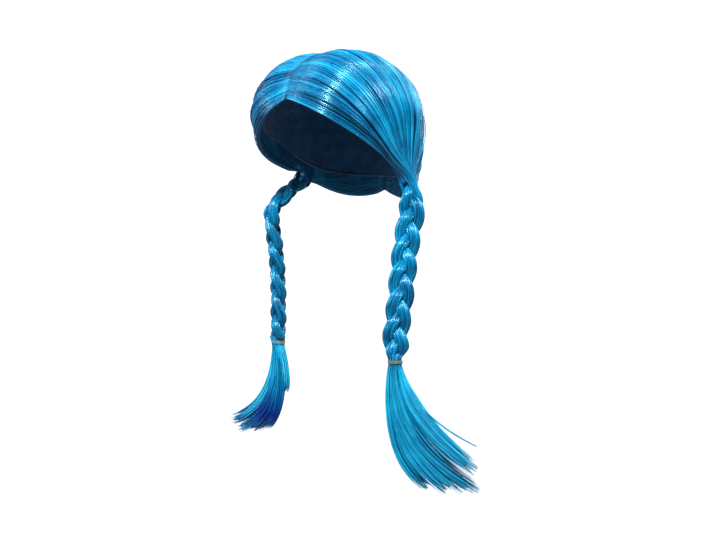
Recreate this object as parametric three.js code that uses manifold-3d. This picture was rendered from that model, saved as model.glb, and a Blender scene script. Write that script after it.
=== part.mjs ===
// A wig with a centre parting and two plaited pigtails, in millimetres, +Z up. Its face side is to -Y and the wearer's
// left to +X, and its origin is the inside of the cap at the top of the head.
import * as THREE from 'three';
import Module from 'manifold-3d';
import { mergeVertices } from 'three/addons/utils/BufferGeometryUtils.js';

const wasm = await Module();
wasm.setup();

// The head that the cap fits, measured from its widest level
const headHalfWidth = 76;
const headLength = 174;
const headFront = 0.454 * headLength;
const headBack = headLength - headFront;
const headTop = 73;
const headBelow = 190;
const headSquareness = 2.4; // of a level cut: 2 is an ellipse, and more is squarer

// Cap and parting
const capWall = 1.5;
const stripWidth = 3;
const stripWall = 1;
const stripStart = 0.035; // share of the parting that is left bare at each end

// Depth of the crown's hair over the cap
const clearance = 0.3; // between pieces that touch
const layingGap = 0.8; // between the cap and the flat faces of the hair over it
const hairDepth = 9;
const partingDepth = 3;
const hairlineDepth = 3.6;
const ridgeHeight = 1.8;
const ridges = 9; // locks side by side in each half
const foreheadEdge = 0.1; // share of a half, from the front hairline, over which its depth grows
const napeEdge = 0.08; // and from the nape
const partingRise = 0.25; // share of the way to the neck over which its depth grows from the parting's
const ridgeStart = 0.1; // shares of that way where the ridges start and are full
const ridgeFull = 0.5;
const droopReach = 0.3; // share of a half, from the front hairline, that a side's droop moves

// The neck of hair that each half is gathered into
const neckRadius = 9;
const neckBack = 0.34; // its place behind the widest section, as a share of the head's back length
const neckDown = 0.35; // and below the widest level, as a share of the head below it
const gatherStart = 0.74; // share of the way from parting to neck where the sheet starts to draw in
const leadStep = 0.04; // share of the way that gives the sheet's direction there

// Plaits. Both sides' plaits and tails are shares of the hanging length.
const hangingLength = 334;
const plaitSwing = 7.6; // how far a strand's middle goes to each side
const plaitWeave = 3.6; // how far it goes in front and behind
const strandHalfWidth = 7.2;
const strandHalfThickness = 5.2;
const plaitPitch = 88; // a strand is back on its side after this length
const plaitPhase = 50; // degrees
const plaitFacing = 42; // degrees that the flat side is turned outwards from the front
const strandsInPlait = 3;
const strandGap = 2; // between strands, wide enough for their flat faces to turn past each other
const swellLength = 26; // below the neck, where the plait widens
const narrowLength = 20; // above the elastic, where it narrows
const neckFullness = 0.6; // share of the plait's width at the neck

// Elastics and tails
const bundleRadius = 6.6;
const elasticWall = 1.3;
const elasticHeight = 3.4;
const collarLength = 6; // the tail's round head, which the elastic holds
const lockSink = 1; // how far each lock starts inside that head
const lockThroat = 0.5; // share of a lock's girth at its start
const lockPoint = 0.12; // and at its tip
const lockFullFrom = 0.4; // shares of its length between which it has its whole girth
const lockFullTo = 0.65;
const lockFlatness = 0.7; // its thickness as a share of its width

// Smoothness
const flowSteps = 13;
const stepsAcross = 28;
const strandSides = 8;
const strandSteps = 48;
const lockSides = 8;
const lockSteps = 8;
const capRows = 9;
const capColumns = 24;
const ringSides = 16;
const stripSteps = 24;

// Hair lines of one half, from the front hairline (at 0) over the crown to the nape (at 1). Each runs from the parting
// to the neck and bends towards a corner. Places are shares of the head's half width, of its front or back length, and
// of its height above or below the widest level. The parting is shifted to the wearer's right.
const hairLines = [
  { at: 0, shift: 0, along: -0.947, up: 0.335, bendAcross: 0.8, bendAlong: -0.257, bendUp: -0.036 },
  { at: 0.14, shift: 0.08, along: -0.8, up: 0.72, bendAcross: 1.2, bendAlong: -0.66, bendUp: 0.3 },
  { at: 0.34, shift: 0.12, along: -0.34, up: 1, bendAcross: 1.14, bendAlong: -0.3, bendUp: 0.74 },
  { at: 0.56, shift: 0.09, along: 0.42, up: 1, bendAcross: 1.04, bendAlong: 0.44, bendUp: 0.62 },
  { at: 0.78, shift: 0.04, along: 0.98, up: 0.3, bendAcross: 0.92, bendAlong: 0.86, bendUp: -0.06 },
  { at: 1, shift: 0, along: 0.88, up: -0.4, bendAcross: 0.66, bendAlong: 0.82, bendUp: -0.48 },
];

// The plaits' routes, measured from the neck as shares of the plait's drop
const leftRoute = [
  { out: 0, fore: 0, down: 0 },
  { out: 0.05, fore: 0.016, down: 0.1 },
  { out: 0.056, fore: 0.04, down: 0.2 },
  { out: 0.056, fore: 0.08, down: 0.36 },
  { out: 0.064, fore: 0.12, down: 0.52 },
  { out: 0.07, fore: 0.15, down: 0.68 },
  { out: 0.062, fore: 0.172, down: 0.84 },
  { out: 0.066, fore: 0.186, down: 1 },
];
const rightRoute = [
  { out: 0, fore: 0, down: 0 },
  { out: 0.05, fore: 0.11, down: 0.09 },
  { out: 0.078, fore: 0.2, down: 0.19 },
  { out: 0.074, fore: 0.2, down: 0.3 },
  { out: 0.064, fore: 0.19, down: 0.42 },
  { out: 0.05, fore: 0.184, down: 0.6 },
  { out: 0.04, fore: 0.19, down: 0.8 },
  { out: 0.034, fore: 0.2, down: 1 },
];

// The tails' locks. Where each starts and its girth are shares of the bundle's radius. Its middle and its tip are
// measured from the elastic, as shares of the tail's drop.
const leftLocks = [
  { start: -0.6, midOut: -0.07, midFore: 0.03, midDown: 0.47, tipOut: 0.125, tipFore: -0.06, tipDown: 0.96, girth: 1 },
  { start: -0.35, midOut: -0.05, midFore: 0.03, midDown: 0.52, tipOut: 0.26, tipFore: -0.12, tipDown: 1, girth: 1.15 },
  { start: 0, midOut: -0.02, midFore: 0, midDown: 0.59, tipOut: 0.43, tipFore: -0.2, tipDown: 1, girth: 1.2 },
  { start: 0.35, midOut: 0.02, midFore: -0.02, midDown: 0.63, tipOut: 0.62, tipFore: -0.29, tipDown: 0.98, girth: 1.1 },
  { start: 0.5, midOut: 0.12, midFore: -0.06, midDown: 0.54, tipOut: 0.59, tipFore: -0.27, tipDown: 0.79, girth: 0.9 },
  { start: 0.65, midOut: 0.15, midFore: -0.07, midDown: 0.38, tipOut: 0.61, tipFore: -0.28, tipDown: 0.62, girth: 0.55 },
];
const rightLocks = [
  { start: 0.55, midOut: 0.02, midFore: 0, midDown: 0.7, tipOut: 0.66, tipFore: 0.06, tipDown: 0.84, girth: 0.85 },
  { start: 0.3, midOut: -0.02, midFore: 0, midDown: 0.73, tipOut: 0.5, tipFore: 0.04, tipDown: 0.98, girth: 1.05 },
  { start: 0, midOut: -0.06, midFore: -0.02, midDown: 0.73, tipOut: 0.35, tipFore: 0.03, tipDown: 0.93, girth: 1.1 },
  { start: -0.3, midOut: -0.08, midFore: -0.03, midDown: 0.68, tipOut: 0.18, tipFore: 0.01, tipDown: 0.9, girth: 1.05 },
  { start: -0.6, midOut: -0.09, midFore: -0.04, midDown: 0.42, tipOut: -0.02, tipFore: -0.02, tipDown: 0.7, girth: 0.85 },
];

// Each side's plait and tail. A droop lowers the front hairline, as a share of the head below its widest level, and the
// drops are shares of the hanging length.
const sides = {
  left: { side: 1, droop: 0, plaitDrop: 0.575, tailDrop: 0.425, route: leftRoute, locks: leftLocks },
  right: { side: -1, droop: 0.15, plaitDrop: 0.563, tailDrop: 0.344, route: rightRoute, locks: rightLocks },
};

// The cap's edge, by the share of the half turn from the front to the back: its tilt seen from the head's centre, as a
// share of a quarter turn
const capEdge = [
  { at: 0, tilt: 0.239 },
  { at: 0.11, tilt: 0.161 },
  { at: 0.22, tilt: 0.05 },
  { at: 0.34, tilt: -0.1 },
  { at: 0.5, tilt: -0.244 },
  { at: 0.59, tilt: -0.339 },
  { at: 0.72, tilt: -0.394 },
  { at: 1, tilt: -0.4 },
];

const { lerp, smoothstep, degToRad } = THREE.MathUtils;
const vec = (x, y, z) => new THREE.Vector3(x, y, z);
const headCentre = vec(0, 0, -headTop);
const hairUnder = capWall + layingGap;
const partingHalf = stripWidth / 2 + layingGap;

// A column of a table at a place between its rows, by a smooth curve through them
function readTable(table, column, at) {
  const row = Math.min(table.length - 2, table.findLastIndex((r) => r.at <= at));
  const from = table[row];
  const to = table[row + 1];
  const before = table[row - 1] ?? from;
  const after = table[row + 2] ?? to;
  const span = to.at - from.at;
  const rise = to[column] - from[column];
  const slopeIn = ((to[column] - before[column]) / (to.at - before.at)) * span;
  const slopeOut = ((after[column] - from[column]) / (after.at - from.at)) * span;
  const u = (at - from.at) / span;
  const bend = 3 * rise - 2 * slopeIn - slopeOut;
  return from[column] + slopeIn * u + bend * u ** 2 + (slopeIn + slopeOut - 2 * rise) * u ** 3;
}

// The point of the head's surface, lifted by a distance, that lies in a point's direction from the head's centre
function onHead(point, lift) {
  const d = point.clone().sub(headCentre);
  const length = (d.y < 0 ? headFront : headBack) + lift;
  const height = (d.z > 0 ? headTop : headBelow) + lift;
  const across = Math.abs(d.x / (headHalfWidth + lift)) ** headSquareness;
  const level = (across + Math.abs(d.y / length) ** headSquareness) ** (2 / headSquareness);
  return d.divideScalar(Math.sqrt(level + (d.z / height) ** 2)).add(headCentre);
}

const lengthAt = (share) => share * (share < 0 ? headFront : headBack);
const levelAt = (share) => share * (share > 0 ? headTop : headBelow) - headTop;

// Turns a geometry's faces round if they look inwards
function facingOut(geometry) {
  const position = geometry.getAttribute('position');
  const index = geometry.getIndex();
  const corner = (i) => new THREE.Vector3().fromBufferAttribute(position, index.getX(i));
  let volume = 0;
  for (let i = 0; i < index.count; i += 3) volume += corner(i).dot(corner(i + 1).cross(corner(i + 2)));
  if (volume < 0) index.array.reverse();
  return geometry;
}

function fromTriangles(points, index) {
  const geometry = new THREE.BufferGeometry();
  geometry.setFromPoints(points);
  geometry.setIndex(index);
  return facingOut(geometry);
}

// A closed body through rings of equally many points. Each end is zipped shut from its first point to its middle one.
function loft(rings) {
  const around = rings[0].length;
  const index = [];
  for (let r = 0; r + 1 < rings.length; r++) {
    for (let k = 0; k < around; k++) {
      const a = r * around + k;
      const b = r * around + ((k + 1) % around);
      index.push(a, b, a + around, b, b + around, a + around);
    }
  }
  const last = (rings.length - 1) * around;
  for (let k = 0; k + 1 < around / 2; k++) {
    const far = around - 1 - k;
    index.push(k, far, k + 1, last + k, last + k + 1, last + far);
    if (far - 1 > k + 1) index.push(k + 1, far, far - 1, last + k + 1, last + far - 1, last + far);
  }
  return fromTriangles(rings.flat(), index);
}

function joined(geometries) {
  const solids = geometries.map((geometry) => {
    const bare = geometry.clone();
    bare.deleteAttribute('normal');
    bare.deleteAttribute('uv');
    const merged = mergeVertices(bare);
    const vertProperties = merged.getAttribute('position').array;
    return new wasm.Manifold(new wasm.Mesh({ numProp: 3, vertProperties, triVerts: merged.getIndex().array }));
  });
  const mesh = solids.reduce((a, b) => a.add(b)).getMesh();
  const geometry = new THREE.BufferGeometry();
  geometry.setAttribute('position', new THREE.BufferAttribute(mesh.vertProperties, 3));
  geometry.setIndex(new THREE.BufferAttribute(mesh.triVerts, 1));
  return geometry;
}

// Crown

const neckPlace = (side) => onHead(
  vec(side * headHalfWidth, lengthAt(neckBack), levelAt(-neckDown)),
  hairUnder + neckRadius + clearance,
);

// A point of the parting, in the head's middle before it is shifted
const readLines = (column, at) => readTable(hairLines, column, at);
const partingPoint = (at) => vec(0, lengthAt(readLines('along', at)), levelAt(readLines('up', at)));
const partingShift = (at) => -readLines('shift', at) * headHalfWidth;

// A point of a hair line before it is laid on the head, w of the way from the parting to the neck
function hairLine({ side, droop }, at, w) {
  const start = onHead(partingPoint(at), 0).setX(partingShift(at) + side * partingHalf);
  const lower = droop * headBelow * (1 - smoothstep(at, 0, droopReach));
  const across = side * readLines('bendAcross', at) * headHalfWidth;
  const bend = vec(across, lengthAt(readLines('bendAlong', at)), levelAt(readLines('bendUp', at)) - lower);
  return new THREE.QuadraticBezierCurve3(start, bend, neckPlace(side)).getPoint(w);
}

// Depth of hair: thin at the parting and the hairlines, and ridged by its locks on the way to the neck
function depthAt(at, w) {
  const inside = smoothstep(at, 0, foreheadEdge) * smoothstep(1 - at, 0, napeEdge);
  const body = lerp(partingDepth, hairDepth, smoothstep(w, 0, partingRise));
  const valley = 1 - Math.abs(Math.sin(Math.PI * ridges * at));
  const groove = ridgeHeight * smoothstep(w, ridgeStart, ridgeFull) * valley;
  return lerp(hairlineDepth, body - groove, inside);
}

// Moves a point out to the underside of the hair if it lies below it
function clearOfCap(point) {
  const under = onHead(point, hairUnder);
  return under.distanceTo(headCentre) > point.distanceTo(headCentre) ? under : point;
}

// Half of the crown's hair: a sheet from the parting over the cap, drawn into a round neck
function crownHair(plait) {
  const { side } = plait;
  const neck = plaitFrame(plaitCurve(plait), side, 0);
  const around = 2 * stepsAcross;
  const sheetPoint = (k, w) => {
    const outside = k < stepsAcross;
    const at = (outside ? k : around - 1 - k) / (stepsAcross - 1);
    return onHead(hairLine(plait, at, w), outside ? hairUnder + depthAt(at, w) : hairUnder);
  };
  const back = vec(0, 1, 0).addScaledVector(neck.along, -neck.along.y).normalize();
  const out = new THREE.Vector3().crossVectors(back, neck.along).multiplyScalar(-side);
  if (out.x * side < 0) out.negate();
  const neckPoint = (k) => {
    const angle = (Math.PI * (k + 0.5)) / stepsAcross;
    return neck.middle.clone()
      .addScaledVector(back, -neckRadius * Math.cos(angle))
      .addScaledVector(out, neckRadius * Math.sin(angle));
  };
  const rings = [];
  for (let j = 0; j <= flowSteps; j++) {
    const w = j / flowSteps;
    const ring = [];
    for (let k = 0; k < around; k++) {
      if (w <= gatherStart) {
        ring.push(sheetPoint(k, w));
        continue;
      }
      const from = sheetPoint(k, gatherStart);
      const to = neckPoint(k);
      const lead = from.clone().sub(sheetPoint(k, gatherStart - leadStep)).setLength(from.distanceTo(to) / 3);
      const arrive = to.clone().addScaledVector(neck.along, -neckRadius);
      const way = new THREE.CubicBezierCurve3(from, lead.add(from), arrive, to);
      ring.push(clearOfCap(way.getPoint((w - gatherStart) / (1 - gatherStart))));
    }
    rings.push(ring);
  }
  return loft(rings);
}

// Cap and parting strip

// A dome from the top of the head down to the cap's edge, row by row after its top point
function dome(lift) {
  const points = [onHead(vec(0, 0, 0), lift)];
  for (let row = 1; row <= capRows; row++) {
    for (let column = 0; column < capColumns; column++) {
      const turn = (2 * Math.PI * column) / capColumns;
      const fromFront = Math.min(column, capColumns - column) / (capColumns / 2);
      const tilt = (Math.PI / 2) * readTable(capEdge, 'tilt', fromFront);
      const lean = lerp(Math.PI / 2, tilt, row / capRows);
      const level = Math.cos(lean);
      const way = vec(level * Math.sin(turn), -level * Math.cos(turn), Math.sin(lean));
      points.push(onHead(way.add(headCentre), lift));
    }
  }
  return points;
}

function wigCap() {
  const outer = dome(capWall);
  const shell = outer.length;
  const index = [];
  for (let column = 0; column < capColumns; column++) {
    const next = (column + 1) % capColumns;
    index.push(0, 1 + column, 1 + next, shell, shell + 1 + next, shell + 1 + column);
    for (let row = 0; row + 1 < capRows; row++) {
      const [a, b] = [1 + row * capColumns + column, 1 + row * capColumns + next];
      const [c, d] = [a + capColumns, b + capColumns];
      index.push(a, c, b, b, c, d);
      index.push(a + shell, b + shell, c + shell, b + shell, d + shell, c + shell);
    }
    const rim = 1 + (capRows - 1) * capColumns;
    index.push(rim + column, rim + column + shell, rim + next);
    index.push(rim + next, rim + column + shell, rim + next + shell);
  }
  return fromTriangles([...outer, ...dome(0)], index);
}

// A ribbon on the cap along the parting, from the front hairline over the top to the nape
function partingStrip() {
  const high = hairUnder + stripWall;
  const half = stripWidth / 2;
  const rows = Array.from({ length: stripSteps + 1 }, (_, i) => {
    const at = lerp(stripStart, 1 - stripStart, i / stripSteps);
    const corner = (x, lift) => {
      const place = onHead(partingPoint(at), lift);
      return place.setX(partingShift(at) + x);
    };
    return [corner(-half, high), corner(half, high), corner(half, hairUnder), corner(-half, hairUnder)];
  });
  return loft(rows);
}

// Plaits

function plaitCurve({ side, route, plaitDrop }) {
  const neck = neckPlace(side);
  const drop = plaitDrop * hangingLength;
  const points = route.map(({ out, fore, down }) => vec(side * out, -fore, -down).multiplyScalar(drop).add(neck));
  return new THREE.CatmullRomCurve3(points);
}

// The plait's middle at a share of its length, with the directions along it, across its flat side and out of it
function plaitFrame(curve, side, share) {
  const middle = curve.getPointAt(share);
  const along = curve.getTangentAt(share);
  const turn = degToRad(plaitFacing);
  const across = vec(side * Math.cos(turn), Math.sin(turn), 0);
  across.addScaledVector(along, -across.dot(along)).normalize();
  const through = new THREE.Vector3().crossVectors(along, across);
  if (through.y > 0) through.negate();
  return { middle, along, across, through };
}

const placeIn = ({ middle, across, through }, p) =>
  middle.clone().addScaledVector(across, p.x).addScaledVector(through, p.y);

// The shares of the plait's whole width and thickness that it has at a distance from the neck
function fullness(distance, length) {
  const swell = lerp(neckFullness, 1, smoothstep(distance, 0, swellLength));
  const narrow = smoothstep(distance, length - narrowLength, length);
  const wide = swell * lerp(1, bundleRadius / (plaitSwing + strandHalfWidth), narrow);
  const thick = lerp(1, bundleRadius / (plaitWeave + strandHalfThickness), narrow);
  return new THREE.Vector2(wide, thick);
}

function strandMiddle(strand, distance, length) {
  const turn = degToRad(plaitPhase) + 2 * Math.PI * (distance / plaitPitch + strand / strandsInPlait);
  const whole = new THREE.Vector2(plaitSwing * Math.sin(turn), plaitWeave * Math.sin(2 * turn));
  return whole.multiply(fullness(distance, length));
}

// A strand's section: an oval that stops halfway to each of its neighbours
function strandSection(strand, distance, length) {
  const full = fullness(distance, length);
  const middle = strandMiddle(strand, distance, length);
  const toOthers = Array.from({ length: strandsInPlait - 1 }, (_, i) =>
    strandMiddle((strand + i + 1) % strandsInPlait, distance, length).sub(middle));
  return Array.from({ length: strandSides }, (_, k) => {
    const angle = (2 * Math.PI * k) / strandSides;
    const way = new THREE.Vector2(Math.cos(angle), Math.sin(angle));
    const oval = 1 / Math.hypot(way.x / (strandHalfWidth * full.x), way.y / (strandHalfThickness * full.y));
    const limits = toOthers.filter((other) => way.dot(other) > 0)
      .map((other) => ((other.length() - strandGap) / 2) * (other.length() / way.dot(other)));
    return middle.clone().addScaledVector(way, Math.min(oval, ...limits));
  });
}

function plaitStrand(plait, strand) {
  const curve = plaitCurve(plait);
  const length = curve.getLength();
  const rings = Array.from({ length: strandSteps + 1 }, (_, i) => {
    const distance = lerp(clearance, length - clearance, i / strandSteps);
    const frame = plaitFrame(curve, plait.side, distance / length);
    return strandSection(strand, distance, length).map((p) => placeIn(frame, p));
  });
  return loft(rings);
}

// Elastics and tails

// A lock's girth along its length: narrow in the elastic, fullest halfway down and pointed at its tip
function lockGirth(share) {
  const opened = lerp(lockThroat, 1, smoothstep(share, 0, lockFullFrom));
  return opened * lerp(1, lockPoint, smoothstep(share, lockFullTo, 1));
}

// Lays a shape made along +Y from the origin onto the end of a plait
function atPlaitEnd(geometry, plait) {
  const { middle, along } = plaitFrame(plaitCurve(plait), plait.side, 1);
  const turn = new THREE.Quaternion().setFromUnitVectors(vec(0, 1, 0), along);
  return geometry.applyQuaternion(turn).translate(middle.x, middle.y, middle.z);
}

function elastic(plait) {
  const inner = bundleRadius + clearance;
  const outer = inner + elasticWall;
  const top = (collarLength - lockSink - elasticHeight) / 2;
  const bottom = top + elasticHeight;
  const bevel = elasticWall / 3;
  const profile = [
    [inner, top],
    [outer - bevel, top],
    [outer, top + bevel],
    [outer, bottom - bevel],
    [outer - bevel, bottom],
    [inner, bottom],
    [inner, top],
  ];
  return atPlaitEnd(new THREE.LatheGeometry(profile.map(([x, y]) => new THREE.Vector2(x, y)), ringSides), plait);
}

function tailLock({ side, tailDrop }, lock, root, across) {
  const place = (out, fore, down) =>
    vec(side * out, -fore, -down).multiplyScalar(tailDrop * hangingLength).add(root);
  const from = root.clone().addScaledVector(across, lock.start * bundleRadius);
  const mid = place(lock.midOut, lock.midFore, lock.midDown);
  const tip = place(lock.tipOut, lock.tipFore, lock.tipDown);
  const curve = new THREE.QuadraticBezierCurve3(from, mid, tip);
  const rings = Array.from({ length: lockSteps + 1 }, (_, i) => {
    const share = i / lockSteps;
    const frame = plaitFrame(curve, side, share);
    const girth = lock.girth * bundleRadius * lockGirth(share);
    return Array.from({ length: lockSides }, (_, k) => {
      const angle = (2 * Math.PI * k) / lockSides;
      const place = new THREE.Vector2(Math.cos(angle), lockFlatness * Math.sin(angle));
      return placeIn(frame, place.multiplyScalar(girth));
    });
  });
  return loft(rings);
}

function tail(plait) {
  const { middle, along, across } = plaitFrame(plaitCurve(plait), plait.side, 1);
  const collar = new THREE.CylinderGeometry(bundleRadius, bundleRadius, collarLength, ringSides);
  const root = middle.clone().addScaledVector(along, collarLength - lockSink);
  const locks = plait.locks.map((lock) => tailLock(plait, lock, root, across));
  return joined([atPlaitEnd(collar.translate(0, collarLength / 2, 0), plait), ...locks]);
}

// Finishes
const hairBlue = new THREE.MeshStandardMaterial({ color: 0x0a9ad6, roughness: 0.35, metalness: 0 });
const capBlue = new THREE.MeshStandardMaterial({ color: 0x0b4f86, roughness: 0.85, metalness: 0 });
const partingSkin = new THREE.MeshStandardMaterial({ color: 0xd9c3b4, roughness: 0.7, metalness: 0 });
const elasticTan = new THREE.MeshStandardMaterial({ color: 0x9a8a4a, roughness: 0.6, metalness: 0 });

const wig = new THREE.Group();

function addPiece(name, geometry, material) {
  const mesh = new THREE.Mesh(geometry, material);
  mesh.name = name;
  wig.add(mesh);
}

addPiece('wig_cap', wigCap(), capBlue);
addPiece('parting_strip', partingStrip(), partingSkin);
for (const [name, plait] of Object.entries(sides)) {
  addPiece(`crown_hair_${name}`, crownHair(plait), hairBlue);
  for (let strand = 0; strand < strandsInPlait; strand++) {
    addPiece(`plait_${name}_strand_${strand + 1}`, plaitStrand(plait, strand), hairBlue);
  }
  addPiece(`elastic_${name}`, elastic(plait), elasticTan);
  addPiece(`tail_${name}`, tail(plait), hairBlue);
}

export default wig;
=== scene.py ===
"""A bright blue wig with a centre parting and two plaited pigtails, laid fibre by fibre.

Sizes and places are in millimetres, in the frame's own axes, and each mesh is turned into metres as it is
made. Lights, camera and backdrop are in metres.
"""

import bpy
import numpy as np
from mathutils import Matrix, Vector


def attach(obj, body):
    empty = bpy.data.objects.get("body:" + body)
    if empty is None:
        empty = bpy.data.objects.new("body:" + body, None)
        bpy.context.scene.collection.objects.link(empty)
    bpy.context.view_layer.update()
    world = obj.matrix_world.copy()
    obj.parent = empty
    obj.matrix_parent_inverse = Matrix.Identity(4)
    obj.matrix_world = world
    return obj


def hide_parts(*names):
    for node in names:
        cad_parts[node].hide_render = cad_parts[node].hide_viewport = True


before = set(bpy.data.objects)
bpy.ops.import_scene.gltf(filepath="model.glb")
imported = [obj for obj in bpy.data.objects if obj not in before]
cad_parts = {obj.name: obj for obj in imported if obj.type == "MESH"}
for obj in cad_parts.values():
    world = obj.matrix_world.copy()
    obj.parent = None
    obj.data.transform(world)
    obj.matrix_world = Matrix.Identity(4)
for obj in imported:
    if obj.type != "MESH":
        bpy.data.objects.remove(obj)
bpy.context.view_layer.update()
METRES = 0.001
SEED = 11

# The head that the cap fits, measured from its widest level
HEAD_HALF_WIDTH = 76.0
HEAD_LENGTH = 174.0
HEAD_FRONT = 0.454 * HEAD_LENGTH
HEAD_BACK = HEAD_LENGTH - HEAD_FRONT
HEAD_TOP = 73.0
HEAD_BELOW = 190.0
HEAD_SQUARENESS = 2.4
HEAD_CENTRE = np.array([0.0, 0.0, -HEAD_TOP])

# Cap, parting and depth of hair
CAP_WALL = 1.5
HAIR_UNDER = 2.3
STRIP_HALF = 1.5
STRIP_WALL = 1.0
STRIP_CORNER = 0.2
STRIP_START = 0.035
ROOT_LIFT = 0.6
ROOT_OVERLAP = 2.3
HAIR_DEPTH = 9.0
PARTING_DEPTH = 3.0
HAIRLINE_DEPTH = 3.6
RIDGE_HEIGHT = 1.8
RIDGES = 9

# Shares of a half over which the hair's depth grows, from the front hairline and from the nape, and over
# which a side's droop moves its front hair
FOREHEAD_EDGE = 0.1
NAPE_EDGE = 0.08
DROOP_REACH = 0.3

# Shares of the way from the parting to the neck: where the depth is full at the root and in the body, and
# where the ridges start and are full
ROOT_RISE = 0.12
PARTING_RISE = 0.25
RIDGE_START = 0.1
RIDGE_FULL = 0.5

# Neck of hair above each plait
NECK_RADIUS = 9.0
NECK_LIFT = 11.6
NECK_BACK = 0.34
NECK_DOWN = 0.35
GATHER_START = 0.74
LEAD_STEP = 0.04

# Plaits
HANGING_LENGTH = 334.0
PLAIT_SWING = 7.6
PLAIT_WEAVE = 3.6
STRAND_HALF_WIDTH = 7.4
STRAND_HALF_THICKNESS = 5.5
PLAIT_PITCH = 88.0
PLAIT_PHASE = 50.0
PLAIT_FACING = 42.0
STRANDS_IN_PLAIT = 3
STRAND_GAP = 0.3
SWELL_LENGTH = 26.0
NARROW_LENGTH = 15.0
NECK_FULLNESS = 0.6
END_FULLNESS = 1.15

# Elastics and tails
BUNDLE_RADIUS = 7.4
COLLAR_LENGTH = 6.0
LOCK_SINK = 1.0
LOCK_FLATNESS = 0.8
TAIL_START = -0.06
TAIL_FLARE = 1.3
TAIL_SHADE = 0.35
ELASTIC_TURNS = 3
ELASTIC_WIRE = 0.62
ELASTIC_RISE = 1.1
ELASTIC_CLEAR = 0.5
ELASTIC_DROP = 1.2

# Hair lines of one half, as the cap's own shares: from the front hairline (at 0) over the crown to the nape
# (at 1)
HAIR_LINES = [
    dict(at=0, shift=0, along=-0.947, up=0.335, bend_across=0.8, bend_along=-0.257, bend_up=-0.036),
    dict(at=0.14, shift=0.08, along=-0.8, up=0.72, bend_across=1.2, bend_along=-0.66, bend_up=0.3),
    dict(at=0.34, shift=0.12, along=-0.34, up=1, bend_across=1.14, bend_along=-0.3, bend_up=0.74),
    dict(at=0.56, shift=0.09, along=0.42, up=1, bend_across=1.04, bend_along=0.44, bend_up=0.62),
    dict(at=0.78, shift=0.04, along=0.98, up=0.3, bend_across=0.92, bend_along=0.86, bend_up=-0.06),
    dict(at=1, shift=0, along=0.88, up=-0.4, bend_across=0.66, bend_along=0.82, bend_up=-0.48),
]

# The cap's edge, by the share of the half turn from the front to the back: its tilt as a share of a quarter
# turn
CAP_EDGE = [
    dict(at=0, tilt=0.239),
    dict(at=0.11, tilt=0.161),
    dict(at=0.22, tilt=0.05),
    dict(at=0.34, tilt=-0.1),
    dict(at=0.5, tilt=-0.244),
    dict(at=0.59, tilt=-0.339),
    dict(at=0.72, tilt=-0.394),
    dict(at=1, tilt=-0.4),
]

# The plaits' routes, measured from the neck as shares of the plait's drop
LEFT_ROUTE = [
    dict(at=0, out=0, fore=0),
    dict(at=0.1, out=0.05, fore=0.016),
    dict(at=0.2, out=0.056, fore=0.04),
    dict(at=0.36, out=0.056, fore=0.08),
    dict(at=0.52, out=0.064, fore=0.12),
    dict(at=0.68, out=0.07, fore=0.15),
    dict(at=0.84, out=0.062, fore=0.172),
    dict(at=1, out=0.066, fore=0.186),
]
RIGHT_ROUTE = [
    dict(at=0, out=0, fore=0),
    dict(at=0.09, out=0.05, fore=0.11),
    dict(at=0.19, out=0.078, fore=0.2),
    dict(at=0.3, out=0.074, fore=0.2),
    dict(at=0.42, out=0.064, fore=0.19),
    dict(at=0.6, out=0.05, fore=0.184),
    dict(at=0.8, out=0.04, fore=0.19),
    dict(at=1, out=0.034, fore=0.2),
]

# The tails' locks. Each starts at a share of the bundle's radius. Its middle and tip are shares of the drop
# of its tail: outwards, forwards and down. Its girth is a share of the bundle's. Its shade is the middle
# tone of its fibres, and its dip is how far it goes into the colours of the dipped tips.
LEFT_TIP_FULLNESS = 0.85
LEFT_LOCKS = [
    dict(start=-0.6, mid=(-0.1, 0.05, 0.72), tip=(0.252, -0.12, 0.97), girth=1, shade=0.52, dip=0),
    dict(start=-0.35, mid=(-0.05, 0.02, 0.66), tip=(0.4, -0.18, 0.98), girth=1.15, shade=0.42, dip=0),
    dict(start=0, mid=(-0.02, 0.01, 0.63), tip=(0.53, -0.25, 0.98), girth=1.2, shade=0.54, dip=0),
    dict(start=0.35, mid=(-0.03, 0.01, 0.62), tip=(0.63, -0.29, 0.97), girth=1.1, shade=0.4, dip=0),
    dict(start=0.5, mid=(0.12, -0.06, 0.48), tip=(0.6, -0.28, 0.81), girth=1.3, shade=0.58, dip=0),
    dict(start=0.65, mid=(0.15, -0.07, 0.42), tip=(0.61, -0.28, 0.62), girth=0.12, shade=0.45, dip=0),
]
RIGHT_TIP_FULLNESS = 1.0
RIGHT_LOCKS = [
    dict(start=0.55, mid=(0.07, 0, 0.67), tip=(0.64, 0.05, 0.88), girth=0.95, shade=0.75, dip=0.45),
    dict(start=0.3, mid=(-0.02, 0, 0.73), tip=(0.53, 0.04, 0.96), girth=1.15, shade=0.5, dip=0.98),
    dict(start=0, mid=(-0.06, -0.02, 0.73), tip=(0.35, 0.03, 0.93), girth=1.15, shade=0.45, dip=0.9),
    dict(start=-0.3, mid=(-0.08, -0.03, 0.68), tip=(0.18, 0.01, 0.88), girth=1.1, shade=0.45, dip=0.85),
    dict(start=-0.6, mid=(-0.09, -0.04, 0.25), tip=(-0.05, -0.03, 0.5), girth=0.9, shade=0.8, dip=0.4),
]

SIDES = {
    "left": dict(
        side=1,
        droop=0.0,
        plait_drop=0.575,
        tail_drop=0.425,
        route=LEFT_ROUTE,
        locks=LEFT_LOCKS,
        tip_fullness=LEFT_TIP_FULLNESS,
    ),
    "right": dict(
        side=-1,
        droop=0.15,
        plait_drop=0.563,
        tail_drop=0.344,
        route=RIGHT_ROUTE,
        locks=RIGHT_LOCKS,
        tip_fullness=RIGHT_TIP_FULLNESS,
    ),
}

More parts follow.
